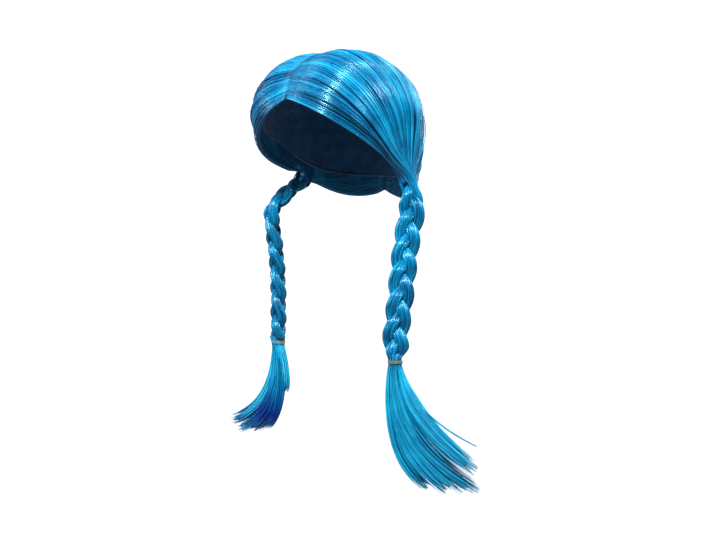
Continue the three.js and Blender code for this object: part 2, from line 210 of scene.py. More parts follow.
# How many fibres are laid, and in how many steps
CROWN_FIBRES = 1100
LINING_FIBRES = 300
CROWN_STEPS = 24
CROWN_LOCKS = 44
NECK_STEPS = 6
PLAIT_FIBRES = 96
PLAIT_STEPS = 64
TAIL_FIBRES = 120
TAIL_STEPS = 20
SHEET_STEPS = 120
SHEET_ROWS = 44
CORE_SIDES = 20
CORE_STEPS = 90
STRIP_STEPS = 90

# A few fibres stand off the rest, and some start below the parting
STRAY_SHARE = 0.03
STRAY_LIFT = 1.8
SHORT_SHARE = 0.3
SHORT_START = 0.45

# The crown's locks: how wide each is at its root and at the neck, how far it has shifted there, how high it
# bulges, how uneven the locks' heights and the fibres' ends are, and how near a half's edges the fibres come
LOCK_AT_ROOT = 0.56
LOCK_AT_NECK = 0.4
LOCK_SHIFT = 0.25
LOCK_BULGE = 0.9
LOCK_UNEVEN = 0.45
END_SCATTER = 0.006
EDGE_MARGIN = 0.002

# The top fibres: their layer of the hair's depth, how far apart their layers and lifts are, how far short
# ones sink at their root, where they start beside the parting, and how far they run on into the plait
TOP_LAYER = 0.92
LAYER_SPREAD = 0.1
LOOSE_LIFT = 0.5
LIFT_MIDDLE = 0.7
SHORT_SINK = 0.35
ROOT_NEAREST = 0.35
ROOT_FARTHEST = 1.3
RUN_SHORTEST = 14.0
RUN_LONGEST = 46.0
CROSSING_RUN = 8.0

# The fibres' half widths, thinnest and thickest, and what is left of them at the neck
CROWN_THINNEST = 0.62
CROWN_THICKEST = 0.95
CROWN_AT_NECK = 0.62
LINING_THINNEST = 0.7
LINING_THICKEST = 1.1
LINING_AT_NECK = 0.6
PLAIT_THINNEST = 0.5
PLAIT_SPREAD = 0.3
TAIL_THINNEST = 0.6
TAIL_SPREAD = 0.4

# How far the tones of single fibres and of whole locks differ
CROWN_TONE_SPREAD = 0.15
LOCK_TONE_SPREAD = 0.13
PLAIT_TONE_SPREAD = 0.2
TAIL_TONE_SPREAD = 0.16

# The body under the top fibres: its layers of the hair's depth, and where it meets the other half
BODY_TOP = 0.86
BODY_UNDER = 0.02
BODY_FROM_STRIP = 0.3
BODY_AT_NAPE = 0.1
# The plaits' cores take this tone of the darker blues: painted shade
BODY_TONE = 0.4

# A fibre's thickness as a share of its width
CROWN_FLATNESS = 0.5
LINING_FLATNESS = 0.4
PLAIT_FLATNESS = 0.55
TAIL_FLATNESS = 0.55

# A tail's fibre: its width at its start, the shares of its length over which it widens and narrows, and its
# width at its tip
TAPER_WIDTH = 0.45
TAPER_START = 0.12
TAPER_END = 0.2
TAPER_TIP = 0.35

# Relief inside the cap
WEFT_APART = 15.0
WEFT_HEIGHT = 0.55
WEFT_HALF_WIDTH = 1.4
HEM_HEIGHT = 0.45
CAP_COLUMNS = 144
CAP_ROWS = 60

# Length over which fibres pass from the neck's round end into the plait's strands
BLEND_LENGTH = 12.0

# A strand's share of its full reach at the neck and in the elastic, and the length over which it sinks there
STRAND_AT_NECK = 0.6
STRAND_AT_ELASTIC = 0.8
SINK_LENGTH = 5.0

# The front hair crosses over the neck into the first strand: which share of a half, how far down, how high
# over the rest, between which places of the neck's ring, and where round the first strand in half turns
CROSSING_REACH = 0.36
CROSSING_LENGTH = 12.0
CROSSING_HEIGHT = 2.4
CROSSING_FIRST = 0.22
CROSSING_LAST = 0.78
CROSSING_LOW = 0.75
CROSSING_HIGH = 0.0


def mix(a, b, t):
    return a + (b - a) * t


def smooth(x, low, high):
    t = np.clip((x - low) / (high - low), 0, 1)
    return t * t * (3 - 2 * t)


def unit(v):
    return v / np.maximum(np.linalg.norm(v, axis=-1, keepdims=True), 1e-9)


def read_table(table, column, at):
    """A column of a table at places between its rows, by a smooth curve through them."""
    knots = np.array([row["at"] for row in table], float)
    values = np.array([row[column] for row in table], float)
    at = np.asarray(at, float)
    row = np.clip(np.searchsorted(knots, at, side="right") - 1, 0, len(knots) - 2)
    before = np.maximum(row - 1, 0)
    after = np.minimum(row + 2, len(knots) - 1)
    span = knots[row + 1] - knots[row]
    rise = values[row + 1] - values[row]
    slope_in = (values[row + 1] - values[before]) / (knots[row + 1] - knots[before]) * span
    slope_out = (values[after] - values[row]) / (knots[after] - knots[row]) * span
    u = (at - knots[row]) / span
    bend = 3 * rise - 2 * slope_in - slope_out
    return values[row] + slope_in * u + bend * u**2 + (slope_in + slope_out - 2 * rise) * u**3


# The head's surface


def on_head(points, lift):
    """The points of the head's surface, lifted, that lie in the points' directions from its centre."""
    d = points - HEAD_CENTRE
    length = np.where(d[..., 1] < 0, HEAD_FRONT, HEAD_BACK) + lift
    height = np.where(d[..., 2] > 0, HEAD_TOP, HEAD_BELOW) + lift
    across = np.abs(d[..., 0] / (HEAD_HALF_WIDTH + lift)) ** HEAD_SQUARENESS
    level = (across + np.abs(d[..., 1] / length) ** HEAD_SQUARENESS) ** (2 / HEAD_SQUARENESS)
    return d / np.sqrt(level + (d[..., 2] / height) ** 2)[..., None] + HEAD_CENTRE


def length_at(share):
    return share * np.where(share < 0, HEAD_FRONT, HEAD_BACK)


def level_at(share):
    return share * np.where(share > 0, HEAD_TOP, HEAD_BELOW) - HEAD_TOP


# Plaits


def neck_place(side):
    start = np.array([side * HEAD_HALF_WIDTH, length_at(NECK_BACK), level_at(-NECK_DOWN)])
    return on_head(start, NECK_LIFT)


def plait_path(plait):
    """The plait's middle as many points, and their distances from the neck."""
    down = np.linspace(0, 1, 400)
    out = read_table(plait["route"], "out", down)
    fore = read_table(plait["route"], "fore", down)
    drop = plait["plait_drop"] * HANGING_LENGTH
    points = neck_place(plait["side"]) + drop * np.stack([plait["side"] * out, -fore, -down], -1)
    steps = np.linalg.norm(np.diff(points, axis=0), axis=1)
    return points, np.concatenate([[0], np.cumsum(steps)])


def axes_across(side, along):
    """The directions across the plait's flat side and out of it."""
    turn = np.radians(PLAIT_FACING)
    flat = np.array([side * np.cos(turn), np.sin(turn), 0])
    across = unit(flat - along * (along @ flat)[..., None])
    return across, side * np.cross(along, across)


def plait_frame(plait, distance):
    """The plait's middle at distances from the neck, with the directions along, across and through it."""
    points, reached = plait_path(plait)
    tangents = unit(np.gradient(points, axis=0))
    middle = np.stack([np.interp(distance, reached, points[:, k]) for k in range(3)], -1)
    along = unit(np.stack([np.interp(distance, reached, tangents[:, k]) for k in range(3)], -1))
    across, through = axes_across(plait["side"], along)
    return middle, along, across, through


def fullness(distance, length):
    swell = mix(NECK_FULLNESS, 1, smooth(distance, 0, SWELL_LENGTH))
    narrow = smooth(distance, length - NARROW_LENGTH, length)
    end_radius = END_FULLNESS * BUNDLE_RADIUS
    wide = swell * mix(1, end_radius / (PLAIT_SWING + STRAND_HALF_WIDTH), narrow)
    thick = mix(1, end_radius / (PLAIT_WEAVE + STRAND_HALF_THICKNESS), narrow)
    return np.stack([wide, thick], -1)


def strand_middle(strand, distance, length):
    turn = np.radians(PLAIT_PHASE) + 2 * np.pi * (distance / PLAIT_PITCH + strand / STRANDS_IN_PLAIT)
    whole = np.stack([PLAIT_SWING * np.sin(turn), PLAIT_WEAVE * np.sin(2 * turn)], -1)
    return whole * fullness(distance, length)


def strand_reach(strand, angle, distance, length):
    """How far a strand reaches from its middle: an oval that stops halfway to its neighbours."""
    full = fullness(distance, length)
    way = np.stack([np.cos(angle), np.sin(angle)], -1)
    wide = way[..., 0] / (STRAND_HALF_WIDTH * full[..., 0])
    thick = way[..., 1] / (STRAND_HALF_THICKNESS * full[..., 1])
    reach = 1 / np.hypot(wide, thick)
    middle = strand_middle(strand, distance, length)
    for step in range(1, STRANDS_IN_PLAIT):
        other = strand_middle((strand + step) % STRANDS_IN_PLAIT, distance, length) - middle
        apart = np.linalg.norm(other, axis=-1)
        facing = np.maximum((way * other).sum(-1), 1e-6)
        reach = np.minimum(reach, (apart - STRAND_GAP) / 2 * apart / facing)
    return reach


def in_strand(plait, strand, angle, share, distance):
    """Places in a plait's strand, with the directions that look out of it."""
    length = plait_path(plait)[1][-1]
    middle, _, across, through = plait_frame(plait, distance)
    reach = strand_reach(strand, angle, distance, length) * share
    offset = strand_middle(strand, distance, length)
    x = offset[..., 0] + reach * np.cos(angle)
    y = offset[..., 1] + reach * np.sin(angle)
    outward = across * np.cos(angle)[..., None] + through * np.sin(angle)[..., None]
    return middle + across * x[..., None] + through * y[..., None], outward


# The crown's hair lines


def hair_line(plait, at, w, start_x):
    """Points of hair lines before they are laid on the head, w of the way from the parting to the neck."""
    side = plait["side"]
    column = {name: read_table(HAIR_LINES, name, at) for name in HAIR_LINES[0] if name != "at"}
    start = np.stack([np.zeros_like(at), length_at(column["along"]), level_at(column["up"])], -1)
    start = on_head(start, 0)
    start[..., 0] = side * start_x - column["shift"] * HEAD_HALF_WIDTH
    droop = plait["droop"] * (1 - smooth(at, 0, DROOP_REACH))
    bend_z = level_at(column["bend_up"]) - droop * HEAD_BELOW
    bend_x = side * column["bend_across"] * HEAD_HALF_WIDTH
    bend = np.stack([bend_x, length_at(column["bend_along"]), bend_z], -1)
    neck = neck_place(side)
    w = w[..., None]
    return start * (1 - w) ** 2 + 2 * bend * w * (1 - w) + neck * w**2


def depth_at(at, w):
    inside = smooth(at, 0, FOREHEAD_EDGE) * smooth(1 - at, 0, NAPE_EDGE)
    body = mix(PARTING_DEPTH, HAIR_DEPTH, smooth(w, 0, PARTING_RISE))
    groove = RIDGE_HEIGHT * smooth(w, RIDGE_START, RIDGE_FULL) * (1 - np.abs(np.sin(np.pi * RIDGES * at)))
    return mix(HAIRLINE_DEPTH, body - groove, inside)


def crown_point(plait, at, w, layer, start_x, raised=0.0, ring_at=None, ring_lift=0.0):
    """Places in one half of the crown's hair: layer 0 is on the cap, and layer 1 is the outer surface.

    The neck's ring is reached at ring_at, which is at itself for hair that doesn't cross over the rest.
    """

    def sheet(reach):
        root = mix(STRIP_WALL + ROOT_LIFT, depth_at(at, reach), smooth(reach, 0, ROOT_RISE))
        return on_head(hair_line(plait, at, reach, start_x), HAIR_UNDER + layer * root + raised)

    side = plait["side"]
    middle, along, _, _ = plait_frame(plait, np.array(0.0))
    back = unit(np.array([0, 1, 0]) - along * along[1])
    out = side * unit(np.cross(along, back))
    out = out * np.sign(out[0] * side)
    ring_angle = np.pi * (at if ring_at is None else ring_at)
    radius = NECK_RADIUS + ring_lift
    to = (
        middle
        - back * (radius * np.cos(ring_angle))[..., None]
        + out * (radius * np.sin(ring_angle) * (2 * layer - 1))[..., None]
    )
    early = np.minimum(w, GATHER_START)
    place = sheet(early)
    edge = np.full_like(w, GATHER_START)
    from_ = sheet(edge)
    apart = np.linalg.norm(to - from_, axis=-1, keepdims=True)
    lead = from_ + unit(from_ - sheet(edge - LEAD_STEP)) * apart / 3
    arrive = to - along * NECK_RADIUS
    u = np.clip((w - GATHER_START) / (1 - GATHER_START), 0, 1)[..., None]
    way = from_ * (1 - u) ** 3 + 3 * lead * u * (1 - u) ** 2 + 3 * arrive * u**2 * (1 - u) + to * u**3
    return np.where((w > GATHER_START)[..., None], way, place)


# Meshes


def add_mesh(name, points, faces, material, nodes, attributes=None):
    """A smooth piece that stands for CAD nodes, made from points in millimetres."""
    mesh = bpy.data.meshes.new(name)
    mesh.from_pydata((points * METRES).tolist(), [], faces)
    for key, values in (attributes or {}).items():
        mesh.attributes.new(key, "FLOAT", "POINT").data.foreach_set("value", values.astype(np.float32))
    mesh.polygons.foreach_set("use_smooth", np.ones(len(mesh.polygons), bool))
    mesh.materials.append(material)
    piece = bpy.data.objects.new(name, mesh)
    bpy.context.scene.collection.objects.link(piece)
    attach(piece, "root")
    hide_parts(*nodes)
    return piece


def ring_faces(rings, around, first=0):
    """The quads of a tube through rings of points."""
    r = np.arange(rings - 1)[:, None]
    k = np.arange(around)[None, :]
    a = first + r * around + k
    b = first + r * around + (k + 1) % around
    return np.stack([a, b, b + around, a + around], -1).reshape(-1, 4)


def tube(rings):
    """The points and faces of a closed tube through rings, with its ends fanned shut."""
    count, around, _ = rings.shape
    points = np.concatenate([rings.reshape(-1, 3), rings[0].mean(0)[None], rings[-1].mean(0)[None]])
    faces = ring_faces(count, around).tolist()
    near, far = count * around, count * around + 1
    last = (count - 1) * around
    for k in range(around):
        n = (k + 1) % around
        faces.append([near, n, k])
        faces.append([far, last + k, last + n])
    return points, faces


def zipped(rings):
    """The points and faces of a closed sheet through rings, with its ends zipped shut side to side."""
    count, around, _ = rings.shape
    faces = ring_faces(count, around).tolist()
    last = (count - 1) * around
    for k in range(around // 2 - 1):
        far = around - 1 - k
        faces.append([k, far, far - 1, k + 1])
        faces.append([last + k + 1, last + far - 1, last + far, last + k])
    return rings.reshape(-1, 3), faces


def fibres(lines, outward, width, thickness, tone):
    """Thin closed three-sided fibres along lines: their points, faces and attributes.

    The tone is one number a fibre, or one for each of its steps.
    """
    count, steps, _ = lines.shape
    tangent = unit(np.gradient(lines, axis=1))
    across = unit(np.cross(tangent, outward))
    up = np.cross(across, tangent)
    angles = np.radians([90, 210, 330])
    ring = (
        across[:, :, None] * (np.cos(angles)[:, None] * width[..., None, None])
        + up[:, :, None] * (np.sin(angles)[:, None] * thickness[..., None, None])
    )
    points = (lines[:, :, None] + ring).reshape(-1, 3)
    pattern = ring_faces(steps, 3)
    quads = (pattern[None] + (np.arange(count) * steps * 3)[:, None, None]).reshape(-1, 4).tolist()
    first = np.arange(count) * steps * 3
    last = first + (steps - 1) * 3
    starts = np.stack([first + 2, first + 1, first], -1)
    tips = np.stack([last, last + 1, last + 2], -1)
    ends = np.concatenate([starts, tips]).tolist()
    attributes = {
        "tone": np.repeat(np.broadcast_to(tone.reshape(count, -1), (count, steps)).ravel(), 3),
        "along": np.tile(np.repeat(np.linspace(0, 1, steps), 3), count),
    }
    return points, quads + ends, attributes


def tapered(width):
    """The width of a tail's fibres along their length, drawn in at the start and finer towards the tip."""
    share = np.linspace(0, 1, TAIL_STEPS)
    drawn_in = mix(TAPER_WIDTH, 1, smooth(share, 0, TAPER_START))
    shape = drawn_in * mix(1, TAPER_TIP, smooth(share, 1 - TAPER_END, 1))
    return width[:, None] * shape[None, :]


# Finishes


def new_material(name):
    material = bpy.data.materials.new(name)
    material.use_nodes = True
    nodes = material.node_tree.nodes
    return material, nodes, material.node_tree.links, nodes["Principled BSDF"]


def ramp_node(nodes, stops):
    ramp = nodes.new("ShaderNodeValToRGB")
    elements = ramp.color_ramp.elements
    while len(elements) < len(stops):
        elements.new(0.5)
    for element, (position, colour) in zip(elements, stops):
        element.position = position
        element.color = (*colour, 1)
    return ramp


DEEP_BLUE = (0.0, 0.014, 0.07)
MID_BLUE = (0.0, 0.105, 0.26)
BRIGHT_BLUE = (0.0, 0.22, 0.44)
PALE_CYAN = (0.01, 0.42, 0.68)
GLEAM_CYAN = (0.05, 0.54, 0.8)
ROYAL_BLUE = (0.0, 0.012, 0.24)
SEA_BLUE = (0.0, 0.13, 0.4)
BLUES = [(0.0, DEEP_BLUE), (0.35, MID_BLUE), (0.7, BRIGHT_BLUE), (1.0, PALE_CYAN)]
BRIGHT_BLUES = [(0.0, MID_BLUE), (0.3, BRIGHT_BLUE), (0.75, PALE_CYAN), (1.0, GLEAM_CYAN)]
DIPPED_TIPS = [
    (0.0, BRIGHT_BLUE),
    (0.45, SEA_BLUE),
    (0.68, ROYAL_BLUE),
    (0.88, SEA_BLUE),
    (1.0, GLEAM_CYAN),
]
# Darker blues for the hair's body and the plaits' cores under the fibres: painted shade
SHADED_BLUES = [(0.0, (0.0, 0.03, 0.14)), (1.0, (0.0, 0.12, 0.36))]
ROOT_ROUGHNESS = 0.7
ROOT_SHARE = 0.07
CLOUD_SPREAD = 0.18


def hair_material(name, stops, tips=None, roughness=0.24):
    """Glossy fibre: each fibre has its own tone, clouded over the hair, and it is duller at its root."""
    material, nodes, links, shader = new_material(name)
    root = nodes.new("ShaderNodeAttribute")
    root.attribute_name = "along"
    dull = nodes.new("ShaderNodeMapRange")
    dull.inputs["From Max"].default_value = ROOT_SHARE
    dull.inputs["To Min"].default_value = ROOT_ROUGHNESS
    dull.inputs["To Max"].default_value = roughness
    links.new(root.outputs["Fac"], dull.inputs["Value"])
    links.new(dull.outputs["Result"], shader.inputs["Roughness"])
    tone = nodes.new("ShaderNodeAttribute")
    tone.attribute_name = "tone"
    place = nodes.new("ShaderNodeTexCoord")
    cloud = nodes.new("ShaderNodeTexNoise")
    cloud.inputs["Scale"].default_value = 38
    cloud.inputs["Detail"].default_value = 3
    links.new(place.outputs["Object"], cloud.inputs["Vector"])
    spread = nodes.new("ShaderNodeMapRange")
    spread.inputs["From Min"].default_value = 0.3
    spread.inputs["From Max"].default_value = 0.7
    spread.inputs["To Min"].default_value = -CLOUD_SPREAD
    spread.inputs["To Max"].default_value = CLOUD_SPREAD
    links.new(cloud.outputs["Fac"], spread.inputs["Value"])
    add = nodes.new("ShaderNodeMath")
    add.operation = "ADD"
    links.new(tone.outputs["Fac"], add.inputs[0])
    links.new(spread.outputs["Result"], add.inputs[1])
    ramp = ramp_node(nodes, stops)
    links.new(add.outputs[0], ramp.inputs["Fac"])
    colour = ramp.outputs["Color"]
    if tips:
        dipped = nodes.new("ShaderNodeAttribute")
        dipped.attribute_name = "dipped"
        fade = ramp_node(nodes, tips)
        amount = nodes.new("ShaderNodeMapRange")
        amount.inputs["From Min"].default_value = 0.24
        amount.inputs["From Max"].default_value = 0.5
        links.new(dipped.outputs["Fac"], amount.inputs["Value"])
        links.new(dipped.outputs["Fac"], fade.inputs["Fac"])
        blend = nodes.new("ShaderNodeMix")
        blend.data_type = "RGBA"
        links.new(amount.outputs["Result"], blend.inputs["Factor"])
        links.new(colour, blend.inputs["A"])
        links.new(fade.outputs["Color"], blend.inputs["B"])
        colour = blend.outputs["Result"]
    links.new(colour, shader.inputs["Base Color"])
    shader.inputs["IOR"].default_value = 1.55
    shader.inputs["Specular IOR Level"].default_value = 0.75
    shader.inputs["Specular Tint"].default_value = (0.35, 0.85, 1, 1)
    return material


def woven_material(name, low, high, scale, roughness, strength):
    """Matt net or cloth: a fine grid of yarns in two close colours, with a bump."""
    material, nodes, links, shader = new_material(name)
    place = nodes.new("ShaderNodeTexCoord")
    yarn = nodes.new("ShaderNodeTexVoronoi")
    yarn.inputs["Scale"].default_value = scale
    links.new(place.outputs["Object"], yarn.inputs["Vector"])
    cloud = nodes.new("ShaderNodeTexNoise")
    cloud.inputs["Scale"].default_value = scale / 12
    links.new(place.outputs["Object"], cloud.inputs["Vector"])
    blend = nodes.new("ShaderNodeMath")
    blend.operation = "MULTIPLY"
    links.new(yarn.outputs["Distance"], blend.inputs[0])
    links.new(cloud.outputs["Fac"], blend.inputs[1])
    ramp = ramp_node(nodes, [(0.05, low), (0.45, high)])
    links.new(blend.outputs[0], ramp.inputs["Fac"])
    links.new(ramp.outputs["Color"], shader.inputs["Base Color"])
    bump = nodes.new("ShaderNodeBump")
    bump.inputs["Strength"].default_value = strength
    bump.inputs["Distance"].default_value = 0.0006
    links.new(yarn.outputs["Distance"], bump.inputs["Height"])
    links.new(bump.outputs["Normal"], shader.inputs["Normal"])
    shader.inputs["Roughness"].default_value = roughness
    shader.inputs["Sheen Weight"].default_value = 0.25
    return material


crown_blue = hair_material("crown_blue", BLUES)
plait_blue = hair_material("plait_blue", BLUES)
tail_blue = hair_material("tail_blue", BRIGHT_BLUES, roughness=0.45)
far_tail_blue = hair_material("far_tail_blue", BRIGHT_BLUES, DIPPED_TIPS)
# Painted shade: the darker blues of the hair under the top fibres
shaded_under_blue = hair_material("shaded_under_blue", SHADED_BLUES, roughness=0.5)
cap_net = woven_material("cap_net", (0.0, 0.03, 0.1), (0.01, 0.13, 0.3), 900, 0.85, 0.6)
strip_skin = woven_material("strip_skin", (0.2, 0.15, 0.13), (0.34, 0.27, 0.24), 1400, 0.8, 0.3)
elastic_tan = woven_material("elastic_tan", (0.08, 0.08, 0.02), (0.2, 0.18, 0.06), 700, 0.5, 0.2)


# Crown


def crown_base(name, plait):
    """The body of the hair under its top fibres, closed down to the cap, in darker blues: painted shade
    between the fibres.
    """
    around = 2 * SHEET_STEPS
    k = np.arange(around)
    outside = k < SHEET_STEPS
    at = np.where(outside, k, around - 1 - k) / (SHEET_STEPS - 1)
    w = np.linspace(0, 1, SHEET_ROWS)
    at, w = np.broadcast_arrays(at[None], w[:, None])
    layer = np.broadcast_to(np.where(outside, BODY_TOP, BODY_UNDER)[None], at.shape)
    start_x = mix(STRIP_HALF + BODY_FROM_STRIP, BODY_AT_NAPE, smooth(at, 0.95, 0.97))
    rings = crown_point(plait, at, w, layer, start_x)
    points, faces = zipped(rings)
    tones = 0.3 + 0.2 * np.random.default_rng(SEED).random(around)
    add_mesh(
        f"crown_hair_{name}_body", points, faces, shaded_under_blue, [f"crown_hair_{name}"],
        {"tone": np.tile(tones, SHEET_ROWS)},
    )


def into_plait(plait, ends, share, run, crossing, facing_turn):
    """Carries fibres on from the neck's end into the nearest strands, or to the outside of the first one."""
    middle, along, across, through = plait_frame(plait, np.array(0.0))
    length = plait_path(plait)[1][-1]
    local = np.stack([(ends - middle) @ across, (ends - middle) @ through], -1)
    middles = np.stack([strand_middle(strand, np.array(0.0), length) for strand in range(STRANDS_IN_PLAIT)])
    nearest = np.where(crossing, 0, np.linalg.norm(local[:, None] - middles[None], axis=-1).argmin(1))
    away = local - middles[nearest]
    distance = run[:, None] * np.linspace(0, 1, NECK_STEPS + 1)[None, 1:]
    turn = np.where(crossing, facing_turn, np.arctan2(away[:, 1], away[:, 0]))
    angle = turn[:, None] * np.ones_like(distance)
    places = np.zeros((*distance.shape, 3))
    outward = np.zeros_like(places)
    for strand in range(STRANDS_IN_PLAIT):
        mine = nearest == strand
        taken = (angle[mine], share[mine, None], distance[mine])
        places[mine], outward[mine] = in_strand(plait, strand, *taken)
    straight = ends[:, None] + along * distance[..., None]
    reach = np.where(crossing, CROSSING_LENGTH, BLEND_LENGTH)[:, None]
    blend = smooth(distance, 0, reach)[..., None]
    return mix(straight, places, blend), outward


def crown_fibres(name, plait, rng):
    """The top fibres of one half, in locks from the parting to the neck and on into the plait."""
    count = CROWN_FIBRES
    lock = np.floor(rng.random(count) * CROWN_LOCKS).astype(int)
    in_lock = rng.random(count) * 2 - 1
    lock_shift = LOCK_SHIFT * rng.normal(size=CROWN_LOCKS)[lock]
    first_at = (lock + 0.5 + LOCK_AT_ROOT * in_lock) / CROWN_LOCKS
    last_at = (lock + 0.5 + lock_shift + LOCK_AT_NECK * in_lock) / CROWN_LOCKS
    last_at = last_at + rng.normal(0, END_SCATTER, count)
    short = rng.random(count) < SHORT_SHARE
    first = np.where(short, rng.random(count) * SHORT_START, rng.random(count) * 0.01)
    share = np.linspace(0, 1, CROWN_STEPS)[None]
    w = mix(first[:, None], 1.0, share)
    at = mix(first_at[:, None], last_at[:, None], smooth(w, 0.05, 0.7))
    at = np.clip(at, EDGE_MARGIN, 1 - EDGE_MARGIN)
    bulge = LOCK_BULGE * (1 - in_lock[:, None] ** 2)
    lock_lift = LOCK_UNEVEN * rng.normal(size=CROWN_LOCKS)[lock][:, None]
    loose = rng.random(count)[:, None]
    grown = smooth(w, 0.02, 0.3) * (1 - smooth(w, 0.8, 1)) * smooth(np.minimum(at, 1 - at), 0, 0.05)
    stray = STRAY_LIFT * (rng.random(count) < STRAY_SHARE)[:, None] * np.sin(np.pi * share) ** 2
    raised = (bulge + lock_lift + LOOSE_LIFT * loose - LIFT_MIDDLE) * grown + stray
    layer = TOP_LAYER + LAYER_SPREAD * loose - SHORT_SINK * short[:, None] * (1 - smooth(share, 0, 0.12))
    start_x = mix(ROOT_NEAREST, ROOT_FARTHEST, rng.random(count))
    start_x = start_x - ROOT_OVERLAP * rng.random(count) * smooth(first_at, 0.01, 0.03)
    start_x = start_x[:, None] * np.ones_like(w)
    crossing = last_at < CROSSING_REACH
    across_lock = np.clip(last_at / CROSSING_REACH, 0, 1)
    crossing_at = mix(CROSSING_FIRST, CROSSING_LAST, across_lock)
    ring_at = np.where(crossing[:, None], crossing_at[:, None], at)
    ring_lift = CROSSING_HEIGHT * crossing[:, None]
    lines = crown_point(plait, at, w, layer, start_x, raised, ring_at, ring_lift)
    outward = unit(lines - HEAD_CENTRE + np.array([0, 0, 20.0]))
    run = mix(RUN_SHORTEST, RUN_LONGEST, rng.random(count)) + CROSSING_RUN * crossing
    facing_turn = np.pi * mix(CROSSING_LOW, CROSSING_HIGH, across_lock)
    share_out = 0.9 + 0.12 * rng.random(count)
    onward, facing = into_plait(plait, lines[:, -1], share_out, run, crossing, facing_turn)
    lines = np.concatenate([lines, onward], 1)
    outward = np.concatenate([outward, facing], 1)
    tone = 0.5 + CROWN_TONE_SPREAD * rng.normal(size=count)
    tone = tone + LOCK_TONE_SPREAD * rng.normal(size=CROWN_LOCKS)[lock]
    whole = np.concatenate([w, np.full((count, NECK_STEPS), 1.0)], 1)
    width = mix(CROWN_THINNEST, CROWN_THICKEST, rng.random(count))[:, None]
    width = width * mix(1.0, CROWN_AT_NECK, smooth(whole, 0.55, 1.0))
    tip = smooth(np.arange(lines.shape[1]), lines.shape[1] - 4, lines.shape[1] - 1)
    start = np.concatenate([smooth(share, 0, 0.1) * np.ones_like(w), np.ones((count, NECK_STEPS))], 1)
    width = width * np.where(short[:, None], mix(0.15, 1, start), mix(0.9, 1, start)) * mix(1, 0.2, tip)
    node = f"crown_hair_{name}"
    points, faces, attributes = fibres(lines, outward, width, width * CROWN_FLATNESS, np.clip(tone, 0, 1))
    add_mesh(node, points, faces, crown_blue, [node], attributes)


def crown_lining(name, plait, rng):
    """Fibres on the underside of the hair, which shows below the cap's edge."""
    count = LINING_FIBRES
    behind = rng.random(count) < 0.8
    at_back = mix(0.62, 0.998, rng.random(count))
    at_front = mix(EDGE_MARGIN, 0.12, rng.random(count))
    at = np.where(behind, at_back, at_front)[:, None]
    share = np.linspace(0, 1, CROWN_STEPS)[None]
    w = mix(0.01, 1.0, share) * np.ones_like(at)
    at = at + 0.012 * rng.normal(size=count)[:, None] * smooth(w, 0, 0.6)
    layer = -0.04 - 0.04 * rng.random(count)[:, None] * np.ones_like(w)
    start_x = mix(STRIP_HALF, -3.0 * rng.random(count)[:, None], smooth(at, 0.85, 0.95)) * np.ones_like(w)
    lines = crown_point(plait, np.clip(at, EDGE_MARGIN, 1 - EDGE_MARGIN), w, layer, start_x)
    outward = -unit(lines - HEAD_CENTRE)
    run = mix(10.0, 30.0, rng.random(count))
    share_out = 0.85 + 0.1 * rng.random(count)
    onward, facing = into_plait(plait, lines[:, -1], share_out, run, np.zeros(count, bool), np.zeros(count))
    lines = np.concatenate([lines, onward], 1)
    outward = np.concatenate([outward, facing], 1)
    whole = np.concatenate([w, np.ones((count, NECK_STEPS))], 1)
    width = mix(LINING_THINNEST, LINING_THICKEST, rng.random(count))[:, None]
    width = width * mix(1.0, LINING_AT_NECK, smooth(whole, 0.55, 1.0))
    # A tone a little darker than the top fibres': painted shade on the hair's underside
    tone = np.clip(0.4 + CROWN_TONE_SPREAD * rng.normal(size=count), 0, 1)
    points, faces, attributes = fibres(lines, outward, width, width * LINING_FLATNESS, tone)
    node = f"crown_hair_{name}"
    add_mesh(f"crown_lining_{name}", points, faces, crown_blue, [node], attributes)


# Plaits


def strand_ends(distance, length):
    """How much of its full reach a strand has: less where it leaves the neck and enters the elastic."""
    leaving = mix(STRAND_AT_NECK, 1, smooth(distance, 0, BLEND_LENGTH))
    return leaving * mix(1, STRAND_AT_ELASTIC, smooth(distance, length - SINK_LENGTH, length))


def plait_strand(name, plait, strand, rng):
    """One strand of a plait: a closed core, and the fibres that lie round it."""
    length = plait_path(plait)[1][-1]
    distance = np.linspace(0, length, CORE_STEPS)[:, None]
    angle = (2 * np.pi * np.arange(CORE_SIDES) / CORE_SIDES)[None]
    distance, angle = np.broadcast_arrays(distance, angle)
    rings, _ = in_strand(plait, strand, angle, 0.9 * strand_ends(distance, length), distance)
    core_points, core_faces = tube(rings)
    count = PLAIT_FIBRES
    distance = np.linspace(0, length, PLAIT_STEPS)[None] * np.ones((count, 1))
    angle = 2 * np.pi * (np.arange(count) + rng.random(count)) / count
    slant = rng.normal(0, 0.25, count)[:, None]
    wave = 0.12 * np.sin(distance / (14 + 10 * rng.random(count)[:, None]) + 6 * rng.random(count)[:, None])
    angle = angle[:, None] + slant * (distance / length - 0.5) + wave
    share = 0.93 + 0.09 * rng.random(count)[:, None]
    share = share + 0.02 * np.sin(distance / 9 + 6 * rng.random(count)[:, None])
    share = share * strand_ends(distance, length)
    lines, outward = in_strand(plait, strand, angle, share, distance)
    tone = np.clip(0.5 + PLAIT_TONE_SPREAD * rng.normal(size=count), 0, 1)
    width = (PLAIT_THINNEST + PLAIT_SPREAD * rng.random(count))[:, None] * np.ones_like(distance)
    points, faces, attributes = fibres(lines, outward, width, width * PLAIT_FLATNESS, tone)
    node = f"plait_{name}_strand_{strand + 1}"
    # The core is in the darker blues: painted shade between the fibres
    core_tone = {"tone": np.full(len(core_points), BODY_TONE)}
    add_mesh(node + "_core", core_points, core_faces, shaded_under_blue, [node], core_tone)
    add_mesh(node, points, faces, plait_blue, [node], attributes)


# Elastics and tails


